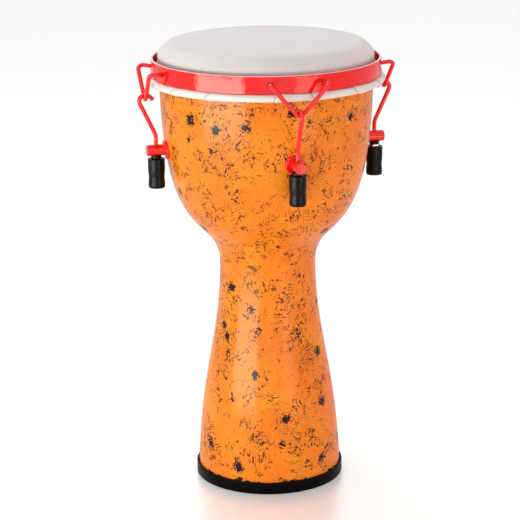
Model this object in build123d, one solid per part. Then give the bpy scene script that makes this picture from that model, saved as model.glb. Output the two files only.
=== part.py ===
from build123d import *
import os
from math import asin, atan, atan2, cos, degrees, radians, sin

# A mechanically tuned djembe. Millimetres, +Z up, the drum's axis on Z and the floor at z = 0.
# Sections are drawn as (distance from the axis, height) and turned about Z. Everything at a tuning
# station is drawn once, with +X pointing away from the drum, and then turned to its place.

# ---- Driving dimensions -------------------------------------------------------------------------

# Shell: a bell-shaped stem, a tight round waist and a bowl that ends almost upright.
STEM_HEIGHT = 268.0        # floor to the waist, where the stem is narrowest
BOWL_HEIGHT = 265.0        # waist to the playing face
FOOT_RADIUS = 86.6         # outside of the wood at the foot
WAIST_RADIUS = 57.3        # outside of the wood at the waist
BOWL_RADIUS = 125.8        # outside of the wood at the head
SHELL_WALL = 7.0
STEM_FOOT_LEAN = 3.4       # how far the stem's lower tangent leans in over its handle
STEM_FOOT_HANDLE = 135.0   # handle of the stem's curve at the foot
STEM_WAIST_HANDLE = 95.0   # handle of the stem's curve at the waist
WAIST_FILLET = 50.0        # radius of the round between stem and bowl
WAIST_TURN = 46.5          # degrees that the waist's round turns outwards
BOWL_BELLY_HANDLE = 40.5   # handle of the bowl's curve where it leaves the waist
BOWL_SIDE_HANDLE = 157.5   # handle of the bowl's curve where it turns upright
BEARING_FLAT = 3.0         # level top of the bearing edge, inside the head's round shoulder
BEARING_LIP = 8.0          # upright inner face of the bearing edge
BEARING_SPLAY = 34.0       # height over which the thick rim runs out into the wall
BEARING_BEVEL = 1.0        # bevel of the rim's inner corner
BESIDE_STEPS = 6           # spans of a curve that is drawn beside another
RUN_ON = 20.0              # how far the drawn outline runs past the floor and the head, to be trimmed

# Foot ring: a rubber channel pushed over the shell's lower edge.
FOOT_RUBBER = 2.3          # thickness of the channel's two walls
FOOT_PAD = 3.0             # rubber under the wood
FOOT_RING_HEIGHT = 14.7
FOOT_RING_INNER_HEIGHT = 10.0
FOOT_RING_EDGE = 0.9       # rounding of the channel's edges

# Head: film over the bearing edge, with a collar down the outside of the bowl.
FILM = 0.8
SHOULDER_WIDTH = 26.0      # flat playing face to the outside of the collar
SHOULDER_HEIGHT = 17.0     # playing face to where the collar turns upright
SHOULDER_FULLNESS = 0.4    # handles of the shoulder's curve, as a share of its width and height
COLLAR_DEPTH = 46.5        # playing face to the collar's lower edge

# Rolled rim: the film's edge wrapped round a steel ring, with a skirt up the collar.
FLESH_RING_WIRE = 6.8      # diameter of the ring's round bar
SKIRT_RISE = 19.0          # centre of the roll to the skirt's top edge
ROLL_OVERHANG = 1.7        # centre of the roll outside the middle of the hoop's band
SKIRT_STRAIGHT = 7.0       # upright part of the skirt, below its top edge
SKIRT_LAP = 50.0           # degrees inwards from the roll's top where the skirt leaves it
SKIRT_FOOT = 100.0         # degrees inwards from the roll's top where the skirt's inner face meets it

# Tuning hoop: an upright flat band that presses the roll down.
HOOP_DROP = 19.1           # playing face to the hoop's top edge
HOOP_HEIGHT = 20.5
HOOP_THICKNESS = 2.5
HOOP_SPACE = 5.5           # between the collar and the hoop
HOOP_EDGE = 0.6            # rounding of the band's edges

# Tuning stations.
STATIONS = {"front": -90, "right": 0, "back": 90, "left": 180}
WIRE = 5.0                 # diameter of the V hooks and hook rods
V_SPREAD = 62.4            # between the two holes of one V hook, on the hoop's outside
V_STANDOFF = 10.3          # hoop's outside to the V's point
V_CORNER_STANDOFF = 15.8   # hoop's outside to the corner where a leg turns into the hoop
V_CORNER_RISE = 2.8        # that corner above the middle of the hoop
V_DROP = 36.0              # middle of the hoop to the sharp point of the V
V_BEND = 6.0               # radius of each bend along the wire's centre
V_TAIL = 3.2               # wire showing inside the hoop
HOLE_SLACK = 0.8           # round the wire, in the hoop's holes

HOOK_BEND = 7.0            # radius of the rod's hook along the wire's centre
HOOK_TIP = 6.0             # straight tip after the hook
HOOK_TIP_ANGLE = 45.0      # degrees that the tip dips below level, towards the drum
ROD_OFFSET = 7.7           # rod's threaded end outside the bowl's widest radius
ROD_RISE = 11.4            # top of the post to the rod's bend
ROD_BEND = 14.0            # radius of that bend along the wire's centre
ROD_TAIL = 15.5            # threaded end below the nut

LUG_DROP = 123.0           # playing face to the lug posts' axis
POST_DIAMETER = 13.0
POST_TIP = 11.3            # rod's axis to the post's outer end
POST_TIP_FILLET = 0.8
FLANGE_DIAMETER = 22.6
FLANGE_THICKNESS = 3.4
FLANGE_FILLET = 1.5
POST_ROD_SLACK = 0.5       # round the rod, in the post
POST_FLAT = 0.5            # depth of the flat that the washer bears on
POST_THREAD_DEPTH = 9.5

BOLT_DIAMETER = 6.0
BOLT_HEAD_FLATS = 10.0     # across the flats
BOLT_HEAD_HEIGHT = 4.0
BOLT_HOLE_SLACK = 0.3      # round the bolt, in the shell and its washer
BOLT_WASHER_DIAMETER = 16.0
BOLT_WASHER_THICKNESS = 1.6
SPOT_SLACK = 0.75          # round the washer, in the flat cut inside the shell
SPOT_DEPTH = 1.3           # how far that flat is sunk at the bolt

NUT_WASHER_DIAMETER = 12.0
NUT_WASHER_THICKNESS = 3.4
NUT_FLATS = 11.0           # across the flats
NUT_HEIGHT = 12.0
NUT_CHAMFER = 0.6
GRIP_DIAMETER = 20.0
GRIP_LENGTH = 35.0
GRIP_WAIST = 0.7           # how far the grip narrows below its middle
GRIP_WAIST_HEIGHT = 12.0   # waist above the grip's lower end
GRIP_FOOT_FLARE = 0.3      # how far it widens again at the lower end
GRIP_EDGE = 1.0
GRIP_SLIP = {"right": 2.4}  # this grip has slid down and bares the top of its nut

# Clearances.
SEAT = 0.05                # between pieces that are fixed to each other
PRESSED = 0.1              # between the wood and the rubber or film stretched over it
SLIDING = 0.3              # between curved faces that slide past each other
THREAD = 0.1               # round the rod, in the nut

# ---- Worked out from the driving dimensions -----------------------------------------------------

TOP = STEM_HEIGHT + BOWL_HEIGHT
SHELL_TOP = TOP - FILM - PRESSED
FILM_RADIUS = BOWL_RADIUS + PRESSED + FILM
SHOULDER_FOOT = TOP - SHOULDER_HEIGHT
FACE_RADIUS = FILM_RADIUS - SHOULDER_WIDTH
LIP_RADIUS = FACE_RADIUS - BEARING_FLAT

HOOP_TOP = TOP - HOOP_DROP
HOOP_BOTTOM = HOOP_TOP - HOOP_HEIGHT
HOOP_MIDDLE = HOOP_TOP - HOOP_HEIGHT / 2
HOOP_INNER = FILM_RADIUS + HOOP_SPACE
HOOP_OUTER = HOOP_INNER + HOOP_THICKNESS

ROLL_HOLLOW = FLESH_RING_WIRE / 2 + SEAT
ROLL_SECTION = ROLL_HOLLOW + FILM
ROLL_CENTRE = (HOOP_INNER + HOOP_OUTER) / 2 + ROLL_OVERHANG
ROLL_HEIGHT = HOOP_BOTTOM - SEAT - ROLL_SECTION
SKIRT_INNER = FILM_RADIUS + SLIDING

HOLE_ANGLE = degrees(asin(V_SPREAD / 2 / HOOP_OUTER))
V_POINT_RADIUS = HOOP_OUTER + V_STANDOFF
V_CORNER_RADIUS = HOOP_OUTER + V_CORNER_STANDOFF
V_CORNER_HEIGHT = HOOP_MIDDLE + V_CORNER_RISE
V_POINT_HEIGHT = HOOP_MIDDLE - V_DROP
V_HALF_ANGLE = atan(V_CORNER_RADIUS * sin(radians(HOLE_ANGLE)) / (V_CORNER_HEIGHT - V_POINT_HEIGHT))
V_WIRE_HEIGHT = V_POINT_HEIGHT + V_BEND * (1 / sin(V_HALF_ANGLE) - 1)

LUG_HEIGHT = TOP - LUG_DROP
ROD_RADIUS = BOWL_RADIUS + ROD_OFFSET
POST_END = ROD_RADIUS + POST_TIP
POST_UNDERSIDE = LUG_HEIGHT - POST_DIAMETER / 2 + POST_FLAT
ROD_BEND_HEIGHT = LUG_HEIGHT + POST_DIAMETER / 2 + ROD_RISE
HOOK_HEIGHT = V_WIRE_HEIGHT + WIRE + SLIDING - HOOK_BEND

NUT_TOP = POST_UNDERSIDE - NUT_WASHER_THICKNESS
NUT_BOTTOM = NUT_TOP - NUT_HEIGHT
NUT_CORNER_RADIUS = NUT_FLATS / 2 / cos(radians(30))
GRIP_BORE_RADIUS = NUT_CORNER_RADIUS + SEAT
ROD_END = NUT_BOTTOM - ROD_TAIL

# ---- Helpers ------------------------------------------------------------------------------------


def turned(section):
    """Turn a (radius, height) section a full circle about the drum's axis."""
    return revolve(Plane.XZ * section, axis=Axis.Z)


def closed(*points):
    """Face inside a closed run of straight edges."""
    return make_face(Polyline(*points, close=True))


def wire_along(path):
    """Round wire swept along a path, cut square at both ends."""
    start = Plane(origin=path @ 0, z_dir=path % 0)
    return sweep(start * Circle(WIRE / 2), path=path)


def bar_along_x(radius, start, end, height):
    """Round bar that points away from the drum, between two distances from its axis."""
    bar = Cylinder(radius, end - start, align=(Align.CENTER, Align.CENTER, Align.MIN))
    return Plane(origin=(start, 0, height), z_dir=(1, 0, 0)) * bar


def upright(radius, low, high):
    """Upright round bar on the hook rod's axis, between two heights."""
    bar = Cylinder(radius, high - low, align=(Align.CENTER, Align.CENTER, Align.MIN))
    return Pos(ROD_RADIUS, 0, low) * bar


def beside(curve, inset):
    """Curve that runs beside another, nearer to the drum's axis by an amount."""
    steps = [step / BESIDE_STEPS for step in range(BESIDE_STEPS + 1)]
    points = [curve @ step + (curve % step).rotate(Axis.Z, 90) * inset for step in steps]
    return Spline(*points, tangents=[curve % 0, curve % 1])


def outline(inset=0.0):
    """Outside of the shell from the floor up, or a line inside it: stem, waist and bowl, all tangent."""
    foot = Vector(FOOT_RADIUS, 0)
    throat = Vector(WAIST_RADIUS, STEM_HEIGHT)
    foot_handle = foot + Vector(-STEM_FOOT_LEAN, STEM_FOOT_HANDLE)
    stem = Bezier(foot, foot_handle, throat - Vector(0, STEM_WAIST_HANDLE), throat)
    centre = throat + Vector(WAIST_FILLET, 0)
    waist = CenterArc(centre, WAIST_FILLET, 180, -WAIST_TURN)
    belly_handle = waist @ 1 + (waist % 1) * BOWL_BELLY_HANDLE
    side = Vector(BOWL_RADIUS, SHOULDER_FOOT)
    bowl = Bezier(waist @ 1, belly_handle, side - Vector(0, BOWL_SIDE_HANDLE), side)
    if not inset:
        return stem, waist, bowl
    return beside(stem, inset), CenterArc(centre, WAIST_FILLET + inset, 180, -WAIST_TURN), beside(bowl, inset)


def inside(inset=0.0):
    """Half section of all that lies inside an outline, run on past the floor and the head."""
    stem, waist, bowl = outline(inset)
    below = stem @ 0 - (stem % 0) * RUN_ON
    above = bowl @ 1 + Vector(0, RUN_ON)
    ends = Polyline(bowl @ 1, above, (0, above.Y), (0, below.Y), below, stem @ 0)
    return make_face(Wire([stem, waist, bowl, *ends.edges()]))


def between(low, high):
    """Face from the axis outwards, between two heights."""
    return closed((0, low), (BOWL_RADIUS * 2, low), (BOWL_RADIUS * 2, high), (0, high))


def bowl_at(height):
    """Distance of the bowl's outside from the axis at a height, and the direction square to it."""
    bowl = outline()[2]
    low, high = 0.0, 1.0
    for _ in range(40):
        middle = (low + high) / 2
        if (bowl @ middle).Y < height:
            low = middle
        else:
            high = middle
    rise = bowl % low
    return (bowl @ low).X, Vector(rise.Y, 0, -rise.X)


def bolt_seat():
    """Distance of the flat inside the shell, where a bolt's washer lies, from the axis."""
    return bowl_at(LUG_HEIGHT)[0] - SHELL_WALL + SPOT_DEPTH


# ---- Shell, foot and head -----------------------------------------------------------------------


def shoulder(inset=0.0):
    """Round of the head from the collar over to the flat playing face, or a line inside it."""
    side = Vector(FILM_RADIUS, SHOULDER_FOOT)
    face = Vector(FACE_RADIUS, TOP)
    upwards = Vector(0, SHOULDER_HEIGHT * SHOULDER_FULLNESS)
    inwards = Vector(SHOULDER_WIDTH * SHOULDER_FULLNESS, 0)
    curve = Bezier(side, side + upwards, face + inwards, face)
    return beside(curve, inset) if inset else curve


def rim_core():
    """Section of the thick rim that the hollow leaves standing under the head."""
    splay_top = SHELL_TOP - BEARING_LIP
    return closed(
        (LIP_RADIUS + BEARING_BEVEL, SHELL_TOP),
        (LIP_RADIUS, SHELL_TOP - BEARING_BEVEL),
        (LIP_RADIUS, splay_top),
        (BOWL_RADIUS, splay_top - BEARING_SPLAY),
        (BOWL_RADIUS, TOP + RUN_ON),
        (LIP_RADIUS + BEARING_BEVEL, TOP + RUN_ON),
    )


def shell():
    """Hollow wooden body, open at the foot, with a thick round bearing edge and a flat for each bolt."""
    outer = outline()
    bearing = shoulder(FILM + PRESSED)
    ends = Polyline(bearing @ 1, (0, SHELL_TOP), (0, 0), outer[0] @ 0)
    block = make_face(Wire([*outer, bearing, *ends.edges()])) & between(FOOT_PAD, TOP)
    body = turned(block - (inside(SHELL_WALL) - rim_core()))
    hole = bar_along_x(BOLT_DIAMETER / 2 + BOLT_HOLE_SLACK, WAIST_RADIUS, BOWL_RADIUS * 2, LUG_HEIGHT)
    spot = bar_along_x(BOLT_WASHER_DIAMETER / 2 + SPOT_SLACK, WAIST_RADIUS, bolt_seat(), LUG_HEIGHT)
    for angle in STATIONS.values():
        body -= Rot(0, 0, angle) * (hole + spot)
    return body


def foot_ring():
    """Rubber channel pushed over the shell's lower edge."""
    outer = FOOT_RADIUS + PRESSED + FOOT_RUBBER
    inner = FOOT_RADIUS - SHELL_WALL - PRESSED - FOOT_RUBBER
    middle = FOOT_RADIUS - SHELL_WALL / 2
    block = closed(
        (inner, 0),
        (outer, 0),
        (outer, FOOT_RING_HEIGHT),
        (middle, FOOT_RING_HEIGHT),
        (middle, FOOT_RING_INNER_HEIGHT),
        (inner, FOOT_RING_INNER_HEIGHT),
    )
    groove = (inside(-PRESSED) - inside(SHELL_WALL + PRESSED)) & between(FOOT_PAD, TOP)
    channel = block - groove
    corners = channel.vertices().filter_by(lambda corner: abs(corner.Y - FOOT_PAD) > SEAT)
    return turned(fillet(corners, FOOT_RING_EDGE))


def drum_head():
    """Film with a flat playing face, a wide round shoulder and a plain collar."""
    low = TOP - COLLAR_DEPTH
    outer = shoulder()
    inner = shoulder(FILM)
    collar = Polyline(outer @ 0, (FILM_RADIUS, low), (FILM_RADIUS - FILM, low), inner @ 0)
    face = Polyline(inner @ 1, (0, TOP - FILM), (0, TOP), outer @ 1)
    return turned(make_face(Wire([outer, inner, *collar.edges(), *face.edges()])))


def flesh_ring():
    """Steel ring that the film's edge is wrapped round."""
    return turned(Pos(ROLL_CENTRE, ROLL_HEIGHT) * Circle(FLESH_RING_WIRE / 2))


def head_rim():
    """Film rolled round the steel ring, with the skirt that rises inside the hoop."""
    centre = Vector(ROLL_CENTRE, ROLL_HEIGHT)
    roll = Pos(centre) * (Circle(ROLL_SECTION) - Circle(ROLL_HOLLOW))
    lap = centre + Vector(0, 1).rotate(Axis.Z, SKIRT_LAP) * ROLL_SECTION
    foot = centre + Vector(0, 1).rotate(Axis.Z, SKIRT_FOOT) * ROLL_SECTION
    top = ROLL_HEIGHT + SKIRT_RISE
    skirt = closed(
        (SKIRT_INNER, foot.Y),
        foot,
        lap,
        (SKIRT_INNER + FILM, top - SKIRT_STRAIGHT),
        (SKIRT_INNER + FILM, top),
        (SKIRT_INNER, top),
    )
    return turned(roll + skirt)


def tuning_hoop():
    """Flat steel band with a pair of holes for each V hook."""
    band = RectangleRounded(HOOP_THICKNESS, HOOP_HEIGHT, HOOP_EDGE)
    hoop = turned(Pos((HOOP_INNER + HOOP_OUTER) / 2, HOOP_MIDDLE) * band)
    hole = bar_along_x(WIRE / 2 + HOLE_SLACK, HOOP_INNER - HOOP_SPACE, HOOP_OUTER * 2, HOOP_MIDDLE)
    for angle in STATIONS.values():
        for side in (-HOLE_ANGLE, HOLE_ANGLE):
            hoop -= Rot(0, 0, angle + side) * hole
    return hoop


# ---- Pieces of one tuning station, drawn on the +X side ------------------------------------------


def v_hook():
    """Bent wire from one hole in the hoop, down to a point, and up to the other hole."""
    tail_radius = HOOP_INNER - V_TAIL
    slope = V_CORNER_RISE / (V_CORNER_RADIUS - HOOP_OUTER)
    tail_height = HOOP_MIDDLE - slope * (HOOP_OUTER - tail_radius)
    tail = Vector(tail_radius, 0, tail_height)
    corner = Vector(V_CORNER_RADIUS, 0, V_CORNER_HEIGHT)
    path = FilletPolyline(
        tail.rotate(Axis.Z, HOLE_ANGLE),
        corner.rotate(Axis.Z, HOLE_ANGLE),
        (V_POINT_RADIUS, 0, V_POINT_HEIGHT),
        corner.rotate(Axis.Z, -HOLE_ANGLE),
        tail.rotate(Axis.Z, -HOLE_ANGLE),
        radius=V_BEND,
    )
    return wire_along(path)


def hook_rod():
    """Rod that stands in the post and the nut, leans outwards and hooks over the point of the V."""
    centre = Vector(V_POINT_RADIUS, 0, HOOK_HEIGHT)
    bend = Vector(ROD_RADIUS, 0, ROD_BEND_HEIGHT)
    reach = centre - bend
    lean = degrees(atan2(reach.X, reach.Z) + asin(HOOK_BEND / reach.length))
    upwards = Vector(0, 0, 1).rotate(Axis.Y, lean)
    outwards = Vector(1, 0, 0).rotate(Axis.Y, lean)
    hook_start = centre + outwards * HOOK_BEND
    hook_turn = 90 + HOOK_TIP_ANGLE + lean
    hook_top = centre + outwards.rotate(Axis.Y, -hook_turn / 2) * HOOK_BEND
    tip_side = outwards.rotate(Axis.Y, -hook_turn)
    hook_end = centre + tip_side * HOOK_BEND
    tip = hook_end + tip_side.rotate(Axis.Y, -90) * HOOK_TIP
    rod = FilletPolyline((ROD_RADIUS, 0, ROD_END), bend, hook_start, radius=ROD_BEND)
    hook = ThreePointArc(hook_start, hook_top, hook_end)
    return wire_along(Wire([*rod.edges(), hook, Line(hook_end, tip)]))


def lug_post():
    """Turned post: a leaning flange cut to the bowl, and a level bar bored for bolt and rod."""
    surface, square = bowl_at(LUG_HEIGHT)
    bar = bar_along_x(POST_DIAMETER / 2, surface - FLANGE_THICKNESS, POST_END, LUG_HEIGHT)
    bar = fillet(bar.edges().filter_by(GeomType.CIRCLE).sort_by(Axis.X)[-1], POST_TIP_FILLET)
    seat = Plane(origin=(surface, 0, LUG_HEIGHT), z_dir=square)
    flange = Cylinder(FLANGE_DIAMETER / 2, FLANGE_THICKNESS * 2)
    flange = fillet(flange.edges().filter_by(GeomType.CIRCLE).sort_by(Axis.Z)[-1], FLANGE_FILLET)
    bowl = inside(-SEAT) & between(LUG_HEIGHT - FLANGE_DIAMETER, LUG_HEIGHT + FLANGE_DIAMETER)
    post = bar + seat * flange - turned(bowl)
    post -= upright(WIRE / 2 + POST_ROD_SLACK, LUG_HEIGHT - POST_DIAMETER, LUG_HEIGHT + POST_DIAMETER)
    post -= upright(NUT_WASHER_DIAMETER / 2 + POST_ROD_SLACK, LUG_HEIGHT - POST_DIAMETER, POST_UNDERSIDE)
    thread_end = surface + POST_THREAD_DEPTH
    return post - bar_along_x(BOLT_DIAMETER / 2 + SEAT, WAIST_RADIUS, thread_end, LUG_HEIGHT)


def lug_washer():
    """Steel washer on the flat inside the shell."""
    seat = bolt_seat()
    disc = bar_along_x(BOLT_WASHER_DIAMETER / 2, seat - BOLT_WASHER_THICKNESS, seat, LUG_HEIGHT)
    return disc - bar_along_x(BOLT_DIAMETER / 2 + BOLT_HOLE_SLACK, WAIST_RADIUS, BOWL_RADIUS, LUG_HEIGHT)


def lug_bolt():
    """Hexagon bolt from inside the bowl, through the wall into the post."""
    under_head = bolt_seat() - BOLT_WASHER_THICKNESS
    head = extrude(RegularPolygon(BOLT_HEAD_FLATS / 2, 6, major_radius=False), -BOLT_HEAD_HEIGHT)
    head = chamfer(head.edges().group_by(Axis.Z)[0], NUT_CHAMFER)
    head = Plane(origin=(under_head, 0, LUG_HEIGHT), z_dir=(1, 0, 0)) * head
    end = bowl_at(LUG_HEIGHT)[0] + POST_THREAD_DEPTH - SLIDING
    return head + bar_along_x(BOLT_DIAMETER / 2, under_head - BOLT_HEAD_HEIGHT / 2, end, LUG_HEIGHT)


def nut_washer():
    """Rubber washer between the post and the nut."""
    washer = upright(NUT_WASHER_DIAMETER / 2, NUT_TOP, POST_UNDERSIDE)
    return washer - upright(WIRE / 2 + THREAD, NUT_TOP, POST_UNDERSIDE)


def tuning_nut():
    """Long hexagon nut that draws the rod down."""
    nut = extrude(RegularPolygon(NUT_CORNER_RADIUS, 6), NUT_HEIGHT)
    ends = nut.edges().group_by(Axis.Z)
    nut = chamfer([*ends[0], *ends[-1]], NUT_CHAMFER)
    return Pos(ROD_RADIUS, 0, NUT_BOTTOM) * nut - upright(WIRE / 2 + THREAD, NUT_BOTTOM, NUT_TOP)


def nut_grip(slip):
    """Rubber sleeve pushed over the nut, waisted by the fingers, slid down by an amount."""
    radius = GRIP_DIAMETER / 2
    shoulder = GRIP_WAIST_HEIGHT * 2
    outside = Spline(
        (radius - GRIP_FOOT_FLARE, 0),
        (radius - GRIP_WAIST, GRIP_WAIST_HEIGHT),
        (radius, shoulder),
        tangents=[(-GRIP_WAIST, GRIP_WAIST_HEIGHT), (0, 1)],
    )
    rest = Polyline((radius, shoulder), (radius, GRIP_LENGTH), (0, GRIP_LENGTH), (0, 0), outside @ 0)
    section = make_face(Wire([outside, *rest.edges()]))
    sleeve = revolve(Plane.XZ * section, axis=Axis.Z) - Cylinder(GRIP_BORE_RADIUS, GRIP_LENGTH * 3)
    sleeve = fillet(sleeve.edges().group_by(Axis.Z)[-1], GRIP_EDGE)
    return Pos(ROD_RADIUS, 0, NUT_TOP - slip - GRIP_LENGTH) * sleeve


# ---- Files --------------------------------------------------------------------------------------


def main():
    """Write one STEP file for each piece."""
    os.makedirs("parts", exist_ok=True)
    pieces = {
        "shell": shell(),
        "foot_ring": foot_ring(),
        "drum_head": drum_head(),
        "flesh_ring": flesh_ring(),
        "head_rim": head_rim(),
        "tuning_hoop": tuning_hoop(),
    }
    station_pieces = {
        "v_hook": v_hook(),
        "hook_rod": hook_rod(),
        "lug_post": lug_post(),
        "lug_washer": lug_washer(),
        "lug_bolt": lug_bolt(),
        "nut_washer": nut_washer(),
        "tuning_nut": tuning_nut(),
    }
    for place, angle in STATIONS.items():
        turn = Rot(0, 0, angle)
        for name, piece in station_pieces.items():
            pieces[f"{name}_{place}"] = turn * piece
        pieces[f"nut_grip_{place}"] = turn * nut_grip(GRIP_SLIP.get(place, 0.0))
    for name, piece in pieces.items():
        export_step(piece, f"parts/{name}.step")


main()
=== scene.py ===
from math import asin, cos, pi, radians, sin

import bmesh
import bpy
import numpy as np
from mathutils import Euler, Matrix, Vector


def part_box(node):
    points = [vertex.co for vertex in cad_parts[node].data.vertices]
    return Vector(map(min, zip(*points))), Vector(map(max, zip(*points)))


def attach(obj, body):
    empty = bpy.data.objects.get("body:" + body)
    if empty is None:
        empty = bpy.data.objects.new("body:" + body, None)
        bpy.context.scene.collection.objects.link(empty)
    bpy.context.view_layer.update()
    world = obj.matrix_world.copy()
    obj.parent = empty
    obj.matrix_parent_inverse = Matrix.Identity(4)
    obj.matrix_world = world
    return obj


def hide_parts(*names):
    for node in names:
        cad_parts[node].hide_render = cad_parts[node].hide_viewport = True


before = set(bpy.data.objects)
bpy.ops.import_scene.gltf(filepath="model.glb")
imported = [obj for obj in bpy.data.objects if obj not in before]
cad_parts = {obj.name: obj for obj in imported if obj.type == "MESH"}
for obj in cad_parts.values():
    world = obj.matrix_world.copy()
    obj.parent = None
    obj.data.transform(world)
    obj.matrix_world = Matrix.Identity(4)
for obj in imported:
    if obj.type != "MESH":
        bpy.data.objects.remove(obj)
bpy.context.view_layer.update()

# Everything is in metres. The drum stands on z = 0 with its axis on Z, and its four tuning stations
# face -Y (front), +X (right), +Y (back) and -X (left).

# ---- Sizes read from the frame, and the curve sizes that the frame's boxes can't give -------------

SHELL_LOW, SHELL_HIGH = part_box("shell")
HEAD_LOW, HEAD_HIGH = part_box("drum_head")
HOOP_LOW, HOOP_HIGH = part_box("tuning_hoop")
RIM_LOW, RIM_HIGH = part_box("head_rim")
FOOT_LOW, FOOT_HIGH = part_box("foot_ring")
ROD_LOW, ROD_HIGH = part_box("hook_rod_right")
GRIP_LOW, GRIP_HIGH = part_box("nut_grip_right")

STEM_HEIGHT = 0.268
FOOT_RADIUS = 0.0866
WAIST_RADIUS = 0.0573
SHELL_WALL = 0.007
STEM_FOOT_LEAN = 0.0034
STEM_FOOT_HANDLE = 0.135
STEM_WAIST_HANDLE = 0.095
WAIST_FILLET = 0.050
WAIST_TURN = radians(46.5)
BOWL_BELLY_HANDLE = 0.0405
BOWL_SIDE_HANDLE = 0.1575
BEARING_FLAT = 0.003
BEARING_LIP = 0.008
BEARING_SPLAY = 0.034
BEARING_BEVEL = 0.001

FILM = 0.0008
SHOULDER_WIDTH = 0.026
SHOULDER_HEIGHT = 0.017
SHOULDER_RISE = 0.0050     # upright part above the collar
SHOULDER_IN = 0.0114       # where the steep part ends: this far in from the side
SHOULDER_DOWN = 0.0018     # and this far below the playing face
SHOULDER_EASE = 0.0058     # length of the flat that the last round starts on
SHOULDER_RADII = [0.0105, 0.0105, 0.0400]
UNDER_FILM = 0.0009        # the film and the hair of room that the wood leaves it
ROLL_SECTION = 0.00425
ROLL_CENTRE = RIM_HIGH.x - ROLL_SECTION
ROLL_HEIGHT = RIM_LOW.z + ROLL_SECTION
SKIRT_INNER = HEAD_HIGH.x + 0.0003
SKIRT_STRAIGHT = 0.007

HOOP_OUTER = HOOP_HIGH.x
HOOP_THICKNESS = 0.0025
HOOP_MIDDLE = (HOOP_LOW.z + HOOP_HIGH.z) / 2
HOOP_RIM_ROUND = 0.0008

WIRE_RADIUS = 0.0025
V_SPREAD = 0.0624
V_POINT_RADIUS = HOOP_OUTER + 0.0103
V_CORNER_RADIUS = HOOP_OUTER + 0.0158
V_CORNER_RISE = 0.0028
V_DROP = 0.036
V_BEND = 0.006
V_TAIL = 0.0032
HOOK_BEND = 0.007
HOOK_TIP = 0.006
HOOK_TIP_ANGLE = radians(45)
ROD_RADIUS = (GRIP_LOW.x + GRIP_HIGH.x) / 2
ROD_BEND = 0.014
ROD_BEND_HEIGHT = 0.4279
WIRE_CHAMFER = 0.0004
THREAD_PITCH = 0.0008
THREAD_DEPTH = 0.0003
THREAD_LENGTH = 0.045

# Columns round each kind of turned piece.
ROUND = 240
RIM_ROUND = 1200
GRIP_ROUND = 72

FOOT_RING_LIP = 0.0023     # thickness of the rubber
FOOT_RING_INSIDE = 0.010   # height of its inner lip
FOOT_RING_WAVE = 0.0005    # how far its outer lip rises and falls

STATIONS = {"front": -90, "right": 0, "back": 90, "left": 180}    # degrees about Z
GRIP_BORE = 0.0064
GRIP_EDGE = 0.0011
GRIP_MOUTH = 0.0006        # rounding at the bore
GRIP_LAND = 0.003          # how far the section follows the bore in from each end
GRIP_WAIST = 0.0006
GRIP_WAIST_HEIGHT = 0.0125
GRIP_FOOT_DRAW = 0.00025

# ---- Shader arithmetic ----------------------------------------------------------------------------


class Field:
    """A value that varies over a surface. Arithmetic on it adds Math nodes."""

    def __init__(self, finish, socket):
        self.finish = finish
        self.socket = socket

    def math(self, operation, *values):
        """A Math node on these values, in the order of its inputs."""
        return self.finish.node("ShaderNodeMath", {"operation": operation}, dict(enumerate(values)))

    def __add__(self, other):
        return self.math("ADD", self, other)

    def __sub__(self, other):
        return self.math("SUBTRACT", self, other)

    def __mul__(self, other):
        return self.math("MULTIPLY", self, other)

    def __truediv__(self, other):
        return self.math("DIVIDE", self, other)

    def __rsub__(self, other):
        return self.math("SUBTRACT", other, self)

    def __gt__(self, other):
        return self.math("GREATER_THAN", self, other)

    def __lt__(self, other):
        return self.math("LESS_THAN", self, other)

    def __abs__(self):
        return self.math("ABSOLUTE", self)

    __radd__ = __add__
    __rmul__ = __mul__

    def bigger(self, other):
        return self.math("MAXIMUM", self, other)

    def also(self, output):
        """Another output of the node that this field comes from."""
        return Field(self.finish, self.socket.node.outputs[output])

    def rise(self, low, high):
        """0 below low, 1 above high, smooth between; falls instead where low is above high."""
        if low < high:
            return self._step(low, high)
        return 1 - self._step(high, low)

    def _step(self, low, high):
        settings = {"interpolation_type": "SMOOTHSTEP"}
        return self.finish.node("ShaderNodeMapRange", settings, {0: self, 1: low, 2: high})


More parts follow.
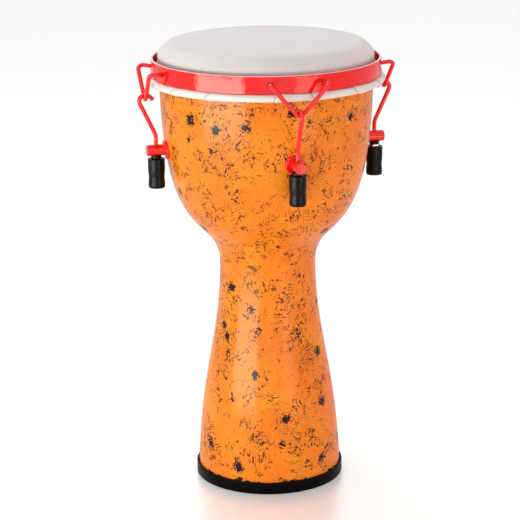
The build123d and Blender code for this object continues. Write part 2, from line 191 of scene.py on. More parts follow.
class Finish:
    """One material: constants on the Principled shader's sockets, and fields for what varies."""

    def __init__(self, name, **constants):
        self.material = bpy.data.materials.new(name)
        self.material.use_nodes = True
        self.nodes = self.material.node_tree.nodes
        self.links = self.material.node_tree.links
        self.shader = next(n for n in self.nodes if n.type == "BSDF_PRINCIPLED")
        for socket, value in constants.items():
            self.put(self.shader.inputs[socket.replace("_", " ").title().replace("Ior", "IOR")], value)

    def put(self, socket, value):
        if isinstance(value, Field):
            self.links.new(value.socket, socket)
        elif hasattr(value, "__len__") and socket.type == "RGBA" and len(value) == 3:
            socket.default_value = (*value, 1.0)
        else:
            socket.default_value = value

    def node(self, kind, settings=None, inputs=None, output=0):
        """Any node: its settings first, then the values or links of its sockets."""
        made = self.nodes.new(kind)
        for name, value in (settings or {}).items():
            setattr(made, name, value)
        for name, value in (inputs or {}).items():
            self.put(made.inputs[name], value)
        return Field(self, made.outputs[output])

    def vary(self, socket, field):
        self.put(self.shader.inputs[socket], field)

    def place(self):
        return self.node("ShaderNodeTexCoord", output="Object")

    def vector(self, operation, *values, output=0):
        return self.node("ShaderNodeVectorMath", {"operation": operation}, dict(enumerate(values)), output)

    def scaled(self, vector, factor):
        return self.node("ShaderNodeVectorMath", {"operation": "SCALE"}, {0: vector, "Scale": factor})

    def stretched(self, vector, factors):
        return self.vector("MULTIPLY", vector, factors)

    def noise(self, vector, size, detail=2.0, output="Fac"):
        """Soft noise whose lumps are about size across."""
        inputs = {"Vector": vector, "Scale": 1 / size, "Detail": detail, "Roughness": 0.55}
        return self.node("ShaderNodeTexNoise", None, inputs, output)

    def cells(self, vector, size, output):
        """Cells about size across: distance, colour or position of the nearest cell's point."""
        inputs = {"Vector": vector, "Scale": 1 / size}
        return self.node("ShaderNodeTexVoronoi", None, inputs, output)

    def warped(self, vector, size, amount, detail=2.0):
        """Coordinates pushed about by noise."""
        push = self.vector("SUBTRACT", self.noise(vector, size, detail, "Color"), (0.5, 0.5, 0.5))
        return self.vector("ADD", vector, self.scaled(push, amount))

    def mix(self, factor, first, second):
        """Colour that goes from first to second as factor goes from 0 to 1."""
        inputs = {0: factor, 6: first, 7: second}
        return self.node("ShaderNodeMix", {"data_type": "RGBA"}, inputs, 2)

    def split(self, vector, axis):
        return self.node("ShaderNodeSeparateXYZ", None, {0: vector}, axis)

    def bump(self, height, depth):
        """Relief: height runs from 0 to 1 and stands for depth in metres."""
        inputs = {"Strength": 1.0, "Distance": depth, "Height": height}
        self.vary("Normal", self.node("ShaderNodeBump", None, inputs))


# ---- Finishes -------------------------------------------------------------------------------------

ORANGE = (0.800, 0.222, 0.010)
ORANGE_DEEP = (0.770, 0.184, 0.008)
ORANGE_PALE = (0.810, 0.272, 0.015)
INK = (0.006, 0.003, 0.003)
INK_BROWN = (0.16, 0.028, 0.012)
BARE_WOOD = (0.42, 0.24, 0.115)
BARE_WOOD_DARK = (0.27, 0.135, 0.055)


def crumpled_ink(finish, place, normal):
    """Black left by a crumpled rag: crossing scratches, fine creases, and blots with shards round them."""
    bent = finish.warped(place, 0.008, 0.0018)
    apart = finish.vector("ADD", bent, (0.31, 0.17, 0.23))
    tuft = finish.noise(bent, 0.017, 1.5).rise(0.42, 0.56)
    busy = tuft * finish.noise(place, 0.055, 1.0).rise(0.30, 0.52)

    long_way = patch_frame(finish, bent, normal, 0.024)
    short_way = patch_frame(finish, apart, normal, 0.012)
    streaks = drawn_noise(finish, long_way, 0.0017, 0.0090) > 0.738 - busy * 0.112
    dashes = drawn_noise(finish, short_way, 0.0017, 0.0050) > 0.760 - busy * 0.130
    hairs = drawn_noise(finish, long_way, 0.0009, 0.0180, 11.0) > 0.713 - busy * 0.052
    crossing = drawn_noise(finish, short_way, 0.0009, 0.0120, 17.0) > 0.712 - busy * 0.052

    curl = finish.noise(apart, 0.0085, 2.0)
    loops = abs(curl - 0.5) < (finish.noise(place, 0.0060, 1.0) - 0.48) * busy * 0.26

    shard = finish.split(finish.cells(drawn(finish, short_way, 0.0013, 0.0034, 5.0), 1.0, "Color"), 1)
    reach = finish.cells(finish.warped(bent, 0.0030, 0.0026), 0.026, "Distance")
    extent = finish.split(reach.also("Color"), 0).rise(0.25, 1.0) * 0.19 + 0.003
    blots = shard > (reach / extent).rise(0.45, 2.1) * 0.985 + 0.012 - busy * 0.012

    return streaks.bigger(dashes).bigger(hairs.bigger(crossing) * 0.85).bigger(loops * 0.75).bigger(blots)


def patch_frame(finish, place, normal, size):
    """Across and along each patch of the surface, in metres from its middle, and the patch's own number."""
    middle = finish.cells(place, size, "Position")
    pick = middle.also("Color")
    offset = finish.vector("SUBTRACT", place, middle)
    across = finish.vector("SUBTRACT", pick, (0.5, 0.5, 0.5))
    lift = finish.vector("DOT_PRODUCT", across, normal, output="Value")
    across = finish.vector("NORMALIZE", finish.vector("SUBTRACT", across, finish.scaled(normal, lift)))
    along = finish.vector("CROSS_PRODUCT", normal, across)
    ways = [finish.vector("DOT_PRODUCT", offset, way, output="Value") for way in (across, along)]
    return (*ways, finish.split(pick, 0) * 60)


def drawn(finish, frame_of_patch, width, length, shift=0.0):
    """Coordinates in which width across a patch and length along it are both 1."""
    across, along, number = frame_of_patch
    return finish.node("ShaderNodeCombineXYZ", None, {0: across / width, 1: along / length, 2: number + shift})


def drawn_noise(finish, frame_of_patch, width, length, shift=0.0):
    """Noise drawn out into streaks that run one way over each patch."""
    return finish.noise(drawn(finish, frame_of_patch, width, length, shift), 1.0, 2.0)


def lacquered_wood():
    """Orange paint with crumpled black ink under satin lacquer; bare turned wood inside."""
    finish = Finish("speckled_orange_lacquer", specular_ior_level=0.04, coat_roughness=0.17)
    place = finish.place()
    normal = finish.node("ShaderNodeNewGeometry", output="Normal")
    ink = crumpled_ink(finish, place, normal)
    cloud = finish.noise(place, 0.070, 2.0)
    paint = finish.mix(cloud.rise(0.40, 0.62), ORANGE_DEEP, ORANGE)
    paint = finish.mix(finish.noise(place, 0.028, 3.0).rise(0.50, 0.72) * 0.6, paint, ORANGE_PALE)
    stain = finish.noise(place, 0.0013, 1.0).rise(0.50, 0.60) * finish.noise(place, 0.05, 1.5).rise(0.47, 0.62)
    paint = finish.mix(stain * 0.30, paint, INK_BROWN)
    drip = (finish.noise(place, 0.009, 3.0) - 0.56) * 0.022
    ink = ink.bigger(finish.split(place, 2) - FOOT_HIGH.z < drip)
    paint = finish.mix(ink, paint, INK)

    level = finish.vector("NORMALIZE", finish.stretched(place, (1, 1, 0)))
    facing = finish.vector("DOT_PRODUCT", level, normal, output="Value")
    height = finish.split(place, 2)
    inside = facing.rise(-0.05, -0.15).bigger(height.rise(SHELL_HIGH.z - 0.002, SHELL_HIGH.z))
    grain = finish.noise(finish.stretched(place, (1, 1, 0.12)), 0.004, 4.0)
    wood = finish.mix(grain, BARE_WOOD_DARK, BARE_WOOD)
    finish.vary("Base Color", finish.mix(inside, paint, wood))

    ridges = finish.noise(finish.stretched(place, (0.03, 0.03, 1)), 0.0013, 1.0)
    orange_peel = finish.noise(place, 0.0035, 1.0)
    finish.vary("Roughness", 0.33 + inside * 0.35 + finish.noise(place, 0.012, 2.0) * 0.10)
    finish.vary("Coat Weight", 0.40 - inside * 0.40)
    finish.bump(ridges * 0.9 + orange_peel * 0.2 + ink * 0.1, 0.00013)
    return finish


def head_film():
    """Grey-white drum film with a fine pebbled grain and faint clouding."""
    finish = Finish("pebbled_head_film", roughness=0.55, specular_ior_level=0.4)
    place = finish.place()
    grain = finish.noise(place, 0.00075, 2.0)
    cloud = finish.noise(place, 0.020, 4.0)
    fibres = finish.noise(finish.stretched(place, (1, 0.25, 1)), 0.0030, 3.0)
    tint = finish.mix(cloud, (0.615, 0.575, 0.570), (0.665, 0.630, 0.622))
    tint = finish.mix(grain.rise(0.55, 0.75) * 0.25, tint, (0.54, 0.50, 0.49))
    finish.vary("Base Color", finish.mix(fibres.rise(0.55, 0.70) * 0.22, tint, (0.74, 0.71, 0.70)))
    finish.vary("Roughness", 0.48 + grain * 0.16)
    finish.bump(grain * 0.7 + fibres * 0.3, 0.00006)
    return finish


def rolled_film():
    """Ivory film of the rolled rim: smooth, slightly glossy, with painted shade along each pleat's edge."""
    finish = Finish("rolled_ivory_film", specular_ior_level=0.5)
    place = finish.place()
    pleat_shade = finish.node("ShaderNodeAttribute", {"attribute_name": "pleat_shade"}, output="Fac")
    cloud = finish.noise(place, 0.012, 3.0)
    grime_and_shade = finish.noise(place, 0.0022, 2.0)
    tint = finish.mix(cloud, (0.66, 0.635, 0.600), (0.745, 0.725, 0.700))
    tint = finish.mix(grime_and_shade.rise(0.58, 0.74) * 0.25, tint, (0.56, 0.52, 0.46))
    # Painted shade: a thin dark brown line along each pleat's edge, patchy with the grime noise, where the
    # lap's step would shade the film.
    finish.vary("Base Color", finish.mix(pleat_shade * (0.55 + grime_and_shade * 0.5), tint, (0.23, 0.17, 0.12)))
    finish.vary("Roughness", 0.26 + cloud * 0.14)
    finish.bump(finish.noise(place, 0.0045, 2.0) + grime_and_shade * 0.25, 0.00010)
    return finish


def red_enamel():
    """Gloss red powder coat with orange peel, darker rubbed spots and a painted highlight on the top rim."""
    finish = Finish("red_enamel", specular_ior_level=0.47)
    place = finish.place()
    cloud = finish.noise(place, 0.010, 3.0)
    chips = finish.noise(place, 0.0016, 3.0)
    tint = finish.mix(cloud, (0.74, 0.006, 0.007), (0.83, 0.011, 0.010))
    tint = finish.mix(chips.rise(0.70, 0.78) * 0.5, tint, (0.42, 0.004, 0.005))
    # Painted highlight: the hoop's top edge is mixed towards pale pink, as light catching it would look.
    rim = finish.split(place, 2).rise(HOOP_HIGH.z - 0.0007, HOOP_HIGH.z - 0.0002)
    finish.vary("Base Color", finish.mix(rim * (0.60 + cloud * 0.4), tint, (0.90, 0.66, 0.63)))
    finish.vary("Roughness", 0.07 + cloud * 0.06)
    finish.bump(finish.noise(place, 0.011, 3.0), 0.00034)
    return finish


def bright_plate():
    """Bright zinc plate with faint swirl and dull patches."""
    finish = Finish("bright_zinc_plate", metallic=1.0, roughness=0.2)
    place = finish.place()
    cloud = finish.noise(place, 0.0030, 3.0)
    finish.vary("Base Color", finish.mix(cloud, (0.62, 0.60, 0.57), (0.82, 0.81, 0.79)))
    finish.vary("Roughness", 0.16 + cloud * 0.18)
    finish.bump(finish.noise(place, 0.0006, 1.0), 0.00001)
    return finish


def bare_steel():
    """Drawn steel bar of the ring inside the rim."""
    finish = Finish("drawn_steel", metallic=1.0, roughness=0.35)
    place = finish.place()
    cloud = finish.noise(place, 0.004, 3.0)
    finish.vary("Base Color", finish.mix(cloud, (0.38, 0.37, 0.36), (0.56, 0.55, 0.54)))
    finish.vary("Roughness", 0.30 + cloud * 0.20)
    return finish


def black_rubber(name, roughness, shine, mark_size):
    """Satin black rubber with mould bloom and fine scuffs."""
    finish = Finish(name, specular_ior_level=shine)
    place = finish.place()
    bloom = finish.noise(place, 0.008, 3.0)
    scuff = finish.noise(finish.stretched(place, (1, 1, 0.3)), mark_size, 3.0)
    tint = finish.mix(bloom, (0.0016, 0.0008, 0.0010), (0.0036, 0.0022, 0.0026))
    finish.vary("Base Color", finish.mix(scuff.rise(0.66, 0.78) * 0.5, tint, (0.020, 0.017, 0.018)))
    finish.vary("Roughness", (roughness - 0.06) + bloom * 0.14)
    finish.bump(scuff * 0.5 + bloom * 0.5, 0.00006)
    return finish


# ---- Shapes ---------------------------------------------------------------------------------------


def unit(vectors):
    """Each vector over its own length."""
    return vectors / np.linalg.norm(vectors, axis=-1, keepdims=True)


def rounded(corners, radii, steps=9):
    """Straight runs joined by arcs tangent to both; an arc starts radius x tan(turn / 2) before its corner."""
    corners = np.asarray(corners, float)
    arrive = unit(corners[1:-1] - corners[:-2])
    leave = unit(corners[2:] - corners[1:-1])
    radius = np.broadcast_to(np.asarray(radii, float), len(arrive))[:, None]
    turn = np.arccos(np.clip((arrive * leave).sum(-1, keepdims=True), -1, 1))
    side = unit(leave - arrive * (arrive * leave).sum(-1, keepdims=True))
    start = corners[1:-1] - arrive * radius * np.tan(turn / 2)
    angle = (turn * np.linspace(0, 1, steps))[..., None]
    swing = np.sin(angle) * arrive[:, None] + (1 - np.cos(angle)) * side[:, None]
    arcs = start[:, None] + radius[:, None] * swing
    return np.vstack([corners[:1], arcs.reshape(-1, corners.shape[1]), corners[-1:]])


def rounded_loop(corners, radii, steps=9):
    """The same, for a closed run of corners."""
    corners = np.asarray(corners, float)
    path = rounded(np.vstack([corners[-1:], corners, corners[:1]]), radii, steps)
    return path[1:-1]


def evenly(path, spacing):
    """Points along a path, about spacing apart."""
    length = np.concatenate([[0], np.cumsum(np.linalg.norm(np.diff(path, axis=0), axis=1))])
    at = np.linspace(0, length[-1], max(2, round(length[-1] / spacing) + 1))
    return np.stack([np.interp(at, length, path[:, axis]) for axis in range(path.shape[1])], axis=1)


def turned(section, columns):
    """Surface of revolution: each (radius, height) of the section at every angle round Z."""
    angle = np.linspace(0, 2 * pi, columns, endpoint=False)[None, :]
    radius = section[:, :1]
    height = np.broadcast_to(section[:, 1:], (len(section), columns))
    return np.stack([radius * np.cos(angle), radius * np.sin(angle), height], axis=-1)


def tube(path, radius, across, columns=24):
    """Circle of a given radius carried along a path, square to it; radius may vary by row and column."""
    steps = unit(np.diff(path, axis=0))
    tangent = unit(np.vstack([steps[:1], steps[:-1] + steps[1:], steps[-1:]]))
    across = np.asarray(across, float)
    side = unit(across - tangent * (tangent @ across)[:, None])
    up = np.cross(tangent, side)
    angle = np.linspace(0, 2 * pi, columns, endpoint=False)[None, :, None]
    ring = side[:, None] * np.cos(angle) + up[:, None] * np.sin(angle)
    return path[:, None] + np.broadcast_to(radius, ring.shape[:2])[..., None] * ring


def capped(path, radius, chamfer, across, columns=24):
    """Tube whose ends are chamfered and closed to a pole."""
    length = np.concatenate([[0], np.cumsum(np.linalg.norm(np.diff(path, axis=0), axis=1))])
    ends = np.minimum(length, length[-1] - length)[:, None]
    skin = tube(path, radius - np.clip(chamfer - ends, 0, chamfer), across, columns)
    first = np.broadcast_to(path[0], (1, columns, 3))
    last = np.broadcast_to(path[-1], (1, columns, 3))
    return np.concatenate([first, skin, last])


def spun(points, degrees_round):
    """Points turned about Z."""
    angle = radians(degrees_round)
    turn = np.array([[cos(angle), sin(angle), 0], [-sin(angle), cos(angle), 0], [0, 0, 1]])
    return points @ turn


def skin_piece(name, points, finish, body, nodes, loop=False, sharp=40, values=None):
    """Closed skin over a grid: columns meet round the ring, and rows meet on a loop or end in a pole."""
    rows, columns = points.shape[:2]
    row = np.arange(rows if loop else rows - 1)[:, None]
    column = np.arange(columns)[None, :]
    ahead = (row + 1) % rows
    beside = (column + 1) % columns
    here, next_row = row * columns, ahead * columns
    corners = (here + column, here + beside, next_row + beside, next_row + column)
    faces = np.stack(np.broadcast_arrays(*corners), axis=-1).reshape(-1, 4)
    mesh = bpy.data.meshes.new(name)
    mesh.from_pydata(points.reshape(-1, 3).tolist(), [], faces.tolist())
    for layer, value in (values or {}).items():
        mesh.attributes.new(layer, "FLOAT", "POINT").data.foreach_set("value", value.ravel())
    return finished_piece(name, mesh, finish, body, nodes, sharp)


def finished_piece(name, mesh, finish, body, nodes, sharp):
    """Merge seams and poles, face outwards, shade, and fix to the body that the piece rides on."""
    work = bmesh.new()
    work.from_mesh(mesh)
    bmesh.ops.remove_doubles(work, verts=work.verts, dist=1e-6)
    bmesh.ops.recalc_face_normals(work, faces=work.faces)
    work.to_mesh(mesh)
    work.free()
    mesh.shade_smooth()
    mesh.set_sharp_from_angle(angle=radians(sharp))
    mesh.materials.clear()
    mesh.materials.append(finish.material)
    piece = bpy.data.objects.new(name, mesh)
    bpy.context.scene.collection.objects.link(piece)
    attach(piece, body)
    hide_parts(*nodes)
    return piece


def enamelled_hoop(finish):
    """The hoop's own shape with its two outer and two inner rims rounded over, as thick enamel leaves them."""
    hoop = smoothed_node("enamelled_hoop", "tuning_hoop", finish, "hoop")
    work = bmesh.new()
    work.from_mesh(hoop.data)

    def on_rim(edge):
        heights = [point.co.z for point in edge.verts]
        level = min(abs(height - end) for height in heights for end in (HOOP_LOW.z, HOOP_HIGH.z)) < 1e-5
        return level and abs(heights[0] - heights[1]) < 1e-5 and edge.calc_face_angle(0) > radians(60)

    rims = [edge for edge in work.edges if on_rim(edge)]
    bmesh.ops.bevel(work, geom=rims, offset=HOOP_RIM_ROUND, segments=3, profile=0.5, affect="EDGES")
    work.to_mesh(hoop.data)
    work.free()
    hoop.data.shade_smooth()
    hoop.data.set_sharp_from_angle(angle=radians(32))


def smoothed_node(name, node, finish, body, sharp=32):
    """A CAD node's own shape with its triangles joined, so that its round faces shade smoothly."""
    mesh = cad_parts[node].data.copy()
    mesh.name = name
    for layer in list(mesh.attributes):
        if layer.name == "custom_normal":
            mesh.attributes.remove(layer)
    return finished_piece(name, mesh, finish, body, [node], sharp)


def cubic(a, b, c, d, count=90):
    """Cubic curve from a to d that leaves towards b and arrives from c."""
    share = np.linspace(0, 1, count)[:, None]
    rest = 1 - share
    return rest**3 * a + 3 * rest**2 * share * b + 3 * rest * share**2 * c + share**3 * d


def inside_of(curve, depth):
    """Line that runs beside a curve of (radius, height), nearer to the axis by depth."""
    along = unit(np.gradient(curve, axis=0))
    return curve + np.stack([-along[:, 1], along[:, 0]], axis=1) * depth


def outline():
    """Outside of the shell, floor to shoulder: two cubic curves joined by the waist's arc."""
    foot = np.array([FOOT_RADIUS, 0])
    throat = np.array([WAIST_RADIUS, STEM_HEIGHT])
    up = np.array([0, 1])
    stem = cubic(foot, foot + [-STEM_FOOT_LEAN, STEM_FOOT_HANDLE], throat - up * STEM_WAIST_HANDLE, throat)
    turn = np.linspace(0, WAIST_TURN, 30)
    waist = throat + WAIST_FILLET * np.stack([1 - np.cos(turn), np.sin(turn)], axis=1)
    leave = np.array([sin(WAIST_TURN), cos(WAIST_TURN)])
    side = np.array([SHELL_HIGH.x, HEAD_HIGH.z - SHOULDER_HEIGHT])
    bowl = cubic(waist[-1], waist[-1] + leave * BOWL_BELLY_HANDLE, side - up * BOWL_SIDE_HANDLE, side)
    return np.vstack([stem, waist[1:], bowl[1:]])


def shoulder(depth=0.0):
    """Round shoulder of the head, from the collar in to the flat face, or a line under it."""
    wide, top = HEAD_HIGH.x, HEAD_HIGH.z
    corners = [
        (wide, top - SHOULDER_HEIGHT),
        (wide, top - SHOULDER_HEIGHT + SHOULDER_RISE),
        (wide - SHOULDER_IN, top - SHOULDER_DOWN),
        (wide - SHOULDER_WIDTH + SHOULDER_EASE, top),
        (wide - SHOULDER_WIDTH, top),
    ]
    return inside_of(rounded(corners, SHOULDER_RADII, 12), depth)


def trimmed(curve, low):
    """The part of a curve above a height, with a point exactly at that height."""
    start = np.interp(low, curve[:, 1], curve[:, 0])
    return np.vstack([[start, low], curve[curve[:, 1] > low + 1e-5]])


def painted_shell(finish):
    """Outline, thick bearing edge, and a line one wall inside, turned about Z."""
    outer = outline()
    bearing = shoulder(UNDER_FILM)
    lip = bearing[-1, 0] - BEARING_FLAT
    top = SHELL_HIGH.z
    splay_top = np.array([lip, top - BEARING_LIP])
    splay_foot = np.array([SHELL_HIGH.x, splay_top[1] - BEARING_SPLAY])
    outer_part = trimmed(outer, SHELL_LOW.z)
    inner = trimmed(inside_of(outer, SHELL_WALL), SHELL_LOW.z)
    splay = splay_top + (splay_foot - splay_top) * np.linspace(0, 1, 200)[:, None]
    hollow = splay[:, 0] < np.interp(splay[:, 1], inner[:, 1], inner[:, 0])
    splay = splay[hollow][:: max(1, hollow.sum() // 8)]
    rim = [(lip + BEARING_BEVEL, top), (lip, top - BEARING_BEVEL)]
    below = inner[inner[:, 1] < splay[-1, 1]]
    section = np.vstack([outer_part, bearing[1:], rim, splay, below[::-1]])
    points = turned(section, ROUND)
    skin_piece("painted_shell", points, finish, "drum", ["shell"], loop=True, sharp=50)


def wavy(angle, waves, seed):
    """Sum of a few sine waves round the drum with seeded phases, between about -1 and 1."""
    phases = np.random.default_rng(seed).uniform(0, 2 * pi, len(waves))
    return sum(np.sin(angle * wave + phase) for wave, phase in zip(waves, phases)) / len(waves)


def rubber_foot(finish):
    """Channel section turned about Z, its top lip rising and falling a little round the foot."""
    outer, inner = FOOT_HIGH.x, FOOT_RADIUS - SHELL_WALL - 0.0024
    lip, seat = FOOT_RING_LIP, SHELL_LOW.z + 0.0002
    corners = [
        (inner, 0),
        (outer, 0),
        (outer, FOOT_HIGH.z),
        (outer - lip, FOOT_HIGH.z),
        (outer - lip, seat),
        (inner + lip, seat),
        (inner + lip, FOOT_RING_INSIDE),
        (inner, FOOT_RING_INSIDE),
    ]
    section = rounded_loop(corners, [0.0012, 0.0016, 0.0010, 0.0010, 0.0001, 0.0001, 0.0008, 0.0008], 6)
    points = turned(section, ROUND)
    angle = np.linspace(0, 2 * pi, ROUND, endpoint=False)[None, :]
    lift = np.clip((points[..., 2] - 0.0105) / 0.004, 0, 1)
    points[..., 2] += lift * FOOT_RING_WAVE * wavy(angle, (3, 7, 13, 22), 5)
    skin_piece("rubber_foot", points, finish, "drum", ["foot_ring"], loop=True)


def film_head(finish):
    """Flat playing face, wide round shoulder and straight collar, with the film's own thickness."""
    outside, inside = shoulder(), shoulder(FILM)
    top, low = HEAD_HIGH.z, HEAD_LOW.z
    face = np.stack([np.linspace(0, outside[-1, 0], 40), np.full(40, top)], axis=1)
    collar = [(HEAD_HIGH.x, low), (HEAD_HIGH.x - FILM, low)]
    section = np.vstack([face, outside[-2::-1], collar, inside, [(0, top - FILM)]])
    skin_piece("film_head", turned(section, ROUND), finish, "drum", ["drum_head"])


# Pleats of the rim: where each starts (degrees about Z), its lean and bow over the roll, and its height.
PLEATS = [
    (-134.0, 1.6, 0.9, 0.00050),
    (-101.0, 0.4, 0.2, 0.00075),
    (-83.0, -1.4, 1.0, 0.00045),
    (-58.0, -2.2, 1.2, 0.00065),
    (-36.0, -1.6, 0.8, 0.00055),
    (-7.0, 1.1, -0.7, 0.00060),
    (17.0, 1.9, 0.6, 0.00050),
    (49.0, -1.0, 1.1, 0.00070),
    (76.0, 1.4, 0.5, 0.00050),
    (103.0, -2.0, 0.8, 0.00060),
    (129.0, 0.8, -0.9, 0.00055),
    (153.0, 1.7, 0.7, 0.00065),
    (-177.0, -1.2, 0.9, 0.00055),
    (-155.0, 1.5, 1.0, 0.00060),
]


def rolled_rim(finish):
    """Skirt and roll turned about Z; at each pleat the outer lap stands proud and fades round the roll."""
    roll = np.linspace(radians(140), radians(-225), 60)[:-1, None]
    roll = np.array([ROLL_CENTRE, ROLL_HEIGHT]) + ROLL_SECTION * np.hstack([np.cos(roll), np.sin(roll)])
    top = RIM_HIGH.z
    flare_top = (SKIRT_INNER + FILM, top - SKIRT_STRAIGHT)
    skirt = [(SKIRT_INNER, top), (SKIRT_INNER + FILM, top), flare_top]
    section = np.vstack([skirt, roll, [(SKIRT_INNER, ROLL_HEIGHT)]])
    section = evenly(np.vstack([section, section[:1]]), 0.0006)[:-1]
    points = turned(section, RIM_ROUND)
    angle = np.degrees(np.linspace(0, 2 * pi, RIM_ROUND, endpoint=False))[None, :]
    around = np.arctan2(section[:, 1] - ROLL_HEIGHT, section[:, 0] - ROLL_CENTRE)[:, None]
    on_roll = np.clip(1 - (section[:, 1:] - ROLL_HEIGHT - ROLL_SECTION) / 0.004, 0, 1)
    proud = 0.00018 * wavy(radians(1) * angle + around * 0.3, (9, 17, 31), 11)
    pleat_shade = np.zeros(points.shape[:2])
    for seam, lean, bow, height in PLEATS:
        past = (angle - seam - lean * around - bow * around**2 + 180) % 360 - 180
        proud = proud + height * np.where(past > 0, np.exp(-past / 5.0), 0)
        # Where the painted shade goes: a thin line at each pleat's edge, just before the lap stands proud.
        pleat_shade = np.maximum(pleat_shade, np.exp(-((past + 0.15) / 0.30) ** 2))
    out = unit(section - np.array([ROLL_CENTRE, ROLL_HEIGHT]))
    radial = proud * on_roll * out[:, :1]
    flat = np.radians(angle)
    points[..., 0] += radial * np.cos(flat)
    points[..., 1] += radial * np.sin(flat)
    points[..., 2] += proud * on_roll * out[:, 1:]
    skin_piece("rolled_rim", points, finish, "hoop", ["head_rim"], loop=True, sharp=60,
               values={"pleat_shade": pleat_shade * on_roll})


def v_wire():
    """Wire from inside the hoop, out and down to the V's point, and back up, round at each bend."""
    hole = asin(V_SPREAD / 2 / HOOP_OUTER)
    slope = V_CORNER_RISE / (V_CORNER_RADIUS - HOOP_OUTER)
    tail_radius = HOOP_OUTER - HOOP_THICKNESS - V_TAIL
    tail_height = HOOP_MIDDLE - slope * (HOOP_OUTER - tail_radius)
    corner_height = HOOP_MIDDLE + V_CORNER_RISE
    corners = [
        (tail_radius * cos(hole), tail_radius * sin(hole), tail_height),
        (V_CORNER_RADIUS * cos(hole), V_CORNER_RADIUS * sin(hole), corner_height),
        (V_POINT_RADIUS, 0, HOOP_MIDDLE - V_DROP),
        (V_CORNER_RADIUS * cos(hole), -V_CORNER_RADIUS * sin(hole), corner_height),
        (tail_radius * cos(hole), -tail_radius * sin(hole), tail_height),
    ]
    path = evenly(rounded(corners, V_BEND, 12), 0.0007)
    return capped(path, WIRE_RADIUS, WIRE_CHAMFER, (0, 0, 1))


def rod_wire():
    """Threaded foot, bend, slant, hook over the V's point and dipping tip, all in one upright plane."""
    hook_height = ROD_HIGH.z - WIRE_RADIUS - HOOK_BEND
    bend = np.array([ROD_RADIUS, 0, ROD_BEND_HEIGHT])
    centre = np.array([V_POINT_RADIUS, 0, hook_height])
    reach = centre - bend
    lean = np.arctan2(reach[0], reach[2]) + asin(HOOK_BEND / np.linalg.norm(reach))
    angle = np.linspace(-lean, pi - HOOK_TIP_ANGLE, 24)[:, None]
    hook = centre + HOOK_BEND * np.hstack([np.cos(angle), np.zeros_like(angle), np.sin(angle)])
    tip = hook[-1] + HOOK_TIP * np.array([-cos(HOOK_TIP_ANGLE), 0, -sin(HOOK_TIP_ANGLE)])
    foot = np.array([ROD_RADIUS, 0, ROD_LOW.z])
    path = evenly(np.vstack([rounded([foot, bend, hook[0]], ROD_BEND, 12), hook[1:], tip]), THREAD_PITCH / 6)
    columns = 20
    length = np.linspace(0, np.linalg.norm(np.diff(path, axis=0), axis=1).sum(), len(path))[:, None]
    turn = np.linspace(0, 1, columns, endpoint=False)[None, :]
    wave = np.abs(((length / THREAD_PITCH - turn) % 1) - 0.5) * 2
    threaded = np.clip((THREAD_LENGTH - length) / 0.002, 0, 1)
    return capped(path, WIRE_RADIUS - THREAD_DEPTH * wave * threaded, WIRE_CHAMFER, (0, 1, 0), columns)


def grip_skin(seed):
    """Sleeve turned about the rod: soft waist low down, rounded lips, and a slight hand-worn unevenness."""
    length = GRIP_HIGH.z - GRIP_LOW.z
    radius = (GRIP_HIGH.x - GRIP_LOW.x) / 2
    height = np.linspace(0, length, 40)
    waist = GRIP_WAIST * np.exp(-(((height - GRIP_WAIST_HEIGHT) / 0.005) ** 2))
    waist = waist + GRIP_FOOT_DRAW * np.exp(-height / 0.006)
    outside = np.stack([radius - waist, height], axis=1)[3:-2]
    land = length - GRIP_LAND
    top = [(radius, land), (radius, length), (GRIP_BORE, length), (GRIP_BORE, land)]
    top = rounded(top, [GRIP_EDGE, GRIP_MOUTH], 7)
    foot = [(GRIP_BORE, GRIP_LAND), (GRIP_BORE, 0), (radius - 0.00045, 0), (radius - 0.0004, 0.0025)]
    foot = rounded(foot, [GRIP_MOUTH, GRIP_EDGE * 0.7], 7)
    section = np.vstack([outside, top[1:-1], foot[1:-1]])
    points = turned(section, GRIP_ROUND)
    angle = np.linspace(0, 2 * pi, GRIP_ROUND, endpoint=False)[None, :]
    swell = 0.00010 * wavy(angle + points[..., 2] * 60, (1, 2, 5), seed)
    points[..., :2] *= 1 - np.abs(swell[..., None]) / radius
    return points


def tuning_station(place, angle, enamel, plate, grip, seed):
    """All pieces of one station, on the bodies that carry them."""
    nut_body = f"nut_{place}"
    wire, rod = spun(v_wire(), angle), spun(rod_wire(), angle)
    skin_piece(f"v_wire_{place}", wire, enamel, "hoop", [f"v_hook_{place}"])
    skin_piece(f"rod_wire_{place}", rod, enamel, "hoop", [f"hook_rod_{place}"], sharp=75)
    smoothed_node(f"post_{place}", f"lug_post_{place}", enamel, "drum")
    smoothed_node(f"bolt_{place}", f"lug_bolt_{place}", plate, "drum")
    smoothed_node(f"bolt_washer_{place}", f"lug_washer_{place}", plate, "drum")
    smoothed_node(f"nut_{place}_hexagon", f"tuning_nut_{place}", plate, nut_body)
    smoothed_node(f"soft_washer_{place}", f"nut_washer_{place}", grip, nut_body)
    low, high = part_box(f"nut_grip_{place}")
    centre = np.array([(low.x + high.x) / 2, (low.y + high.y) / 2, low.z])
    sleeve = grip_skin(seed) + centre
    skin_piece(f"grip_{place}", sleeve, grip, nut_body, [f"nut_grip_{place}"], loop=True)


def build_drum():
    """Every visible piece of the drum."""
    enamel, plate = red_enamel(), bright_plate()
    grip = black_rubber("grip_rubber_black", 0.24, 0.16, 0.0011)
    painted_shell(lacquered_wood())
    rubber_foot(black_rubber("foot_rubber_black", 0.34, 0.045, 0.0018))
    film_head(head_film())
    rolled_rim(rolled_film())
    smoothed_node("steel_ring", "flesh_ring", bare_steel(), "hoop")
    enamelled_hoop(enamel)
    for seed, (place, angle) in enumerate(STATIONS.items()):
        tuning_station(place, angle, enamel, plate, grip, seed + 20)


# ---- Studio ---------------------------------------------------------------------------------------

